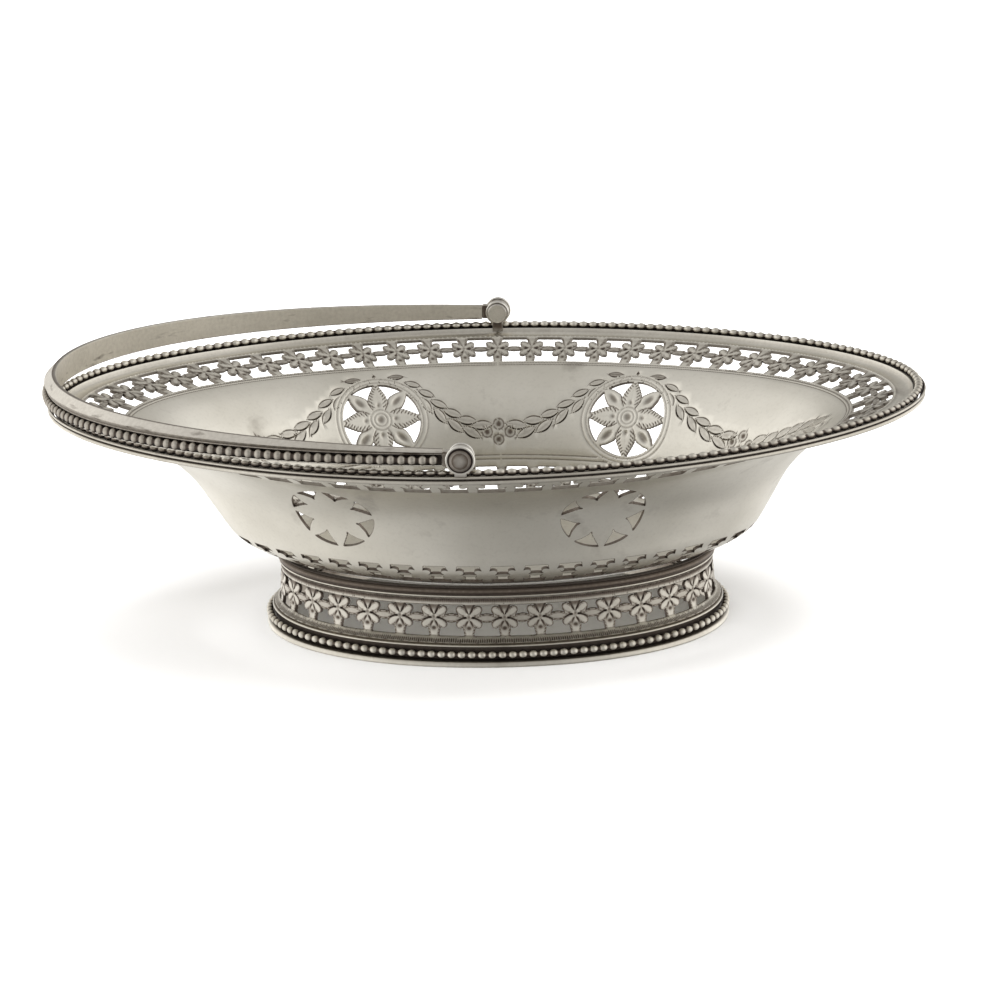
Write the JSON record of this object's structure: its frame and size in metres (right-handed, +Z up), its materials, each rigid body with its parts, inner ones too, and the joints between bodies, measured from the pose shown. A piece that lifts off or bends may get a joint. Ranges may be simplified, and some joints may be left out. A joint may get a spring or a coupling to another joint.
{
  "type": "sweetmeat basket",
  "caption": "Small oval pierced silver basket on a collet foot, with beaded borders and a swing handle that folds down onto the rim.",
  "frame": {"origin": "middle of the basket in plan, on the plane that the foot stands on", "axes": "+Z up, X along the oval, Y across it and along the hinge line; the handle lies folded to -X at rest"},
  "size_m": [0.1727, 0.119, 0.0528],
  "materials": {
    "pierced_sheet": "old polished silver sheet, satin from long cleaning, dark in the engraved lines",
    "border_wire": "old polished silver wire, tarnished dark between the beads and along the mouldings",
    "hinge_metal": "polished silver, worn bright on the raised faces",
    "handle_metal": "old polished silver, satin, with fine scratches along the strap"
  },
  "bodies": {
    "basket": {"bowl": "pierced_sheet", "rim_border_strip": "border_wire", "rim_bead_wire": "border_wire", "foot_collar": "border_wire", "foot_band": "pierced_sheet", "foot_base_ring": "border_wire", "foot_bead_wire": "border_wire", "hinge_ear_front_inner": "hinge_metal", "hinge_ear_front_outer": "hinge_metal", "pivot_pin_front": "hinge_metal", "hinge_ear_rear_inner": "hinge_metal", "hinge_ear_rear_outer": "hinge_metal", "pivot_pin_rear": "hinge_metal"},
    "handle": {"handle_strap": "handle_metal", "handle_bead_wire": "border_wire", "handle_knuckle_front": "handle_metal", "handle_knuckle_rear": "handle_metal"}
  },
  "joints": [
    {"name": "handle_swing", "type": "hinge", "parent": "basket", "child": "handle", "pos_m": [-0.00065, 0, 0.04845], "axis": [0.0113, 0.9999, 0], "range_deg": [0, 177.6]}
  ]
}
